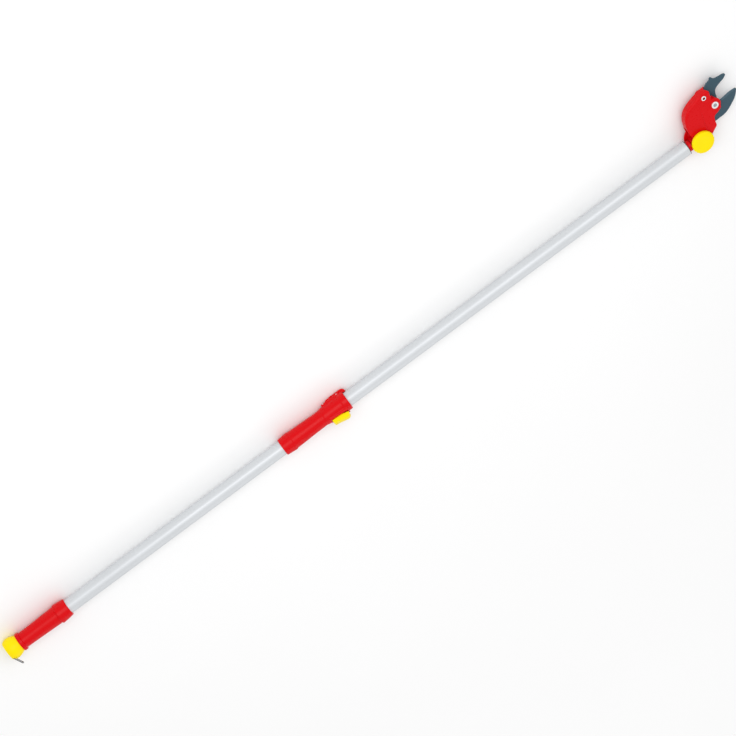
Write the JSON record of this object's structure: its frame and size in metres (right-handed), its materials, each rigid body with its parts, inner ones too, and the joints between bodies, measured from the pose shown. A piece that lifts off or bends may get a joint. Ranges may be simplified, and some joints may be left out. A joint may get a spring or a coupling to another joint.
{
  "type": "telescoping pole pruner",
  "caption": "Telescoping aluminium pole pruner with a hooked bypass cutting head on a swivel neck, a sliding pull handle with a release button, a lower grip and an end cap.",
  "frame": {"origin": "centre of the butt end face of the end cap, on the axis of the pole", "axes": "+X along the pole towards the cutting head, +Z along the swivel axis out through the clamp knob, +Y towards the hooked counter blade"},
  "size_m": [1.8802, 0.1411, 0.0585],
  "materials": {
    "aluminium": "satin drawn and anodised tube",
    "red_plastic": "moulded, semi-gloss signal red",
    "yellow_plastic": "moulded, semi-gloss yellow",
    "blade_coating": "low-friction slate-grey coating on tool steel",
    "bright_steel": "zinc plated fastener",
    "spring_wire": "drawn spring wire",
    "black_plastic": "moulded, matt",
    "zinc_alloy": "die-cast, as cast",
    "nylon": "moulded natural nylon",
    "brass": "turned",
    "cord": "braided polyester cord"
  },
  "bodies": {
    "pole": {"outer_tube": "aluminium", "tube_collar": "black_plastic", "end_cap": "yellow_plastic", "end_plug": "black_plastic", "cap_pin": "bright_steel", "lower_grip": "red_plastic"},
    "bail": {"wire_bail": "spring_wire"},
    "handle": {"handle_upper_shell": "red_plastic", "handle_lower_shell": "red_plastic", "handle_screws": "bright_steel", "handle_bushes": "nylon", "cord_carriage": "nylon", "button_pin": "bright_steel", "button_spring": "spring_wire"},
    "button": {"release_button": "yellow_plastic", "clamp_jaw": "brass", "jaw_screw": "bright_steel"},
    "twist_lock": {"expander_cone": "zinc_alloy", "expander_sleeve": "black_plastic"},
    "upper_pole": {"inner_tube": "aluminium", "inner_tail_bush": "nylon", "neck": "red_plastic", "neck_pins": "bright_steel", "friction_washers": "black_plastic"},
    "roller": {"swivel_roller": "bright_steel"},
    "cord_run": {"pull_cord": "cord", "cord_stop": "black_plastic"},
    "head": {"head_front_shell": "red_plastic", "head_back_shell": "red_plastic", "shell_screws": "bright_steel", "hub_cap": "red_plastic", "clamp_bolt": "bright_steel", "knob_washer": "bright_steel", "counter_blade": "blade_coating", "lock_screw": "bright_steel", "lock_nut": "bright_steel", "lock_spacer": "bright_steel", "pivot_bolt": "bright_steel", "pivot_nut": "bright_steel", "pivot_bush": "brass", "cord_anchor": "bright_steel", "head_cord": "cord", "return_spring": "spring_wire"},
    "knob": {"clamp_knob": "yellow_plastic", "knob_insert": "brass"},
    "blade": {"cutting_blade": "blade_coating", "pulley_pin": "bright_steel"},
    "pulley": {"block_pulley": "nylon"}
  },
  "joints": [
    {"name": "bail_swing", "type": "hinge", "parent": "pole", "child": "bail", "pos_m": [0.0018, -0.0134, 0.01047], "axis": [0, 0.6157, 0.788], "range_deg": [-207, 13]},
    {"name": "handle_pull", "type": "slide", "parent": "pole", "child": "handle", "axis": [-1, 0, 0], "range_m": [0, 0.042]},
    {"name": "button_press", "type": "hinge", "parent": "handle", "child": "button", "pos_m": [0.835, -0.01032, 0.01474], "axis": [0, 0.8192, 0.5736], "range_deg": [0, 8], "stiffness_Nm_per_rad": 0.6, "springref_deg": -5.73, "deforming": ["button_spring"]},
    {"name": "telescope", "type": "slide", "parent": "pole", "child": "twist_lock", "axis": [1, 0, 0], "range_m": [0, 0.6]},
    {"name": "pole_twist", "type": "hinge", "parent": "twist_lock", "child": "upper_pole", "pos_m": [1, 0, 0], "axis": [1, 0, 0], "range_deg": [0, 120]},
    {"name": "head_swivel", "type": "hinge", "parent": "upper_pole", "child": "head", "pos_m": [1.763, 0, 0], "axis": [0, 0, 1], "range_deg": [-150, 30]},
    {"name": "knob_turn", "type": "hinge", "parent": "head", "child": "knob", "pos_m": [1.763, 0, 0], "axis": [0, 0, 1], "range_deg": [0, 360]},
    {"name": "blade_close", "type": "hinge", "parent": "head", "child": "blade", "pos_m": [1.82287, 0.0552, 0], "axis": [0, 0, 1], "range_deg": [0, 48], "deforming": ["return_spring", "head_cord"]},
    {"name": "pulley_spin", "type": "hinge", "parent": "blade", "child": "pulley", "pos_m": [1.80131, 0.07145, 0], "axis": [0, 0, 1], "range_deg": [-200, 0]},
    {"name": "roller_spin", "type": "hinge", "parent": "upper_pole", "child": "roller", "pos_m": [1.763, 0, 0], "axis": [0, 0, 1], "range_deg": [-330, 0]},
    {"name": "cord_slide", "type": "slide", "parent": "upper_pole", "child": "cord_run", "axis": [-1, 0, 0], "range_m": [0, 0.042], "deforming": ["pull_cord"]}
  ],
  "couplings": [
    {"joint": "blade_close", "follows": "handle_pull", "rad_per_m": 19.945},
    {"joint": "pulley_spin", "follows": "handle_pull", "rad_per_m": -82},
    {"joint": "roller_spin", "follows": "handle_pull", "rad_per_m": -133.33},
    {"joint": "cord_slide", "follows": "handle_pull", "ratio": 1}
  ]
}
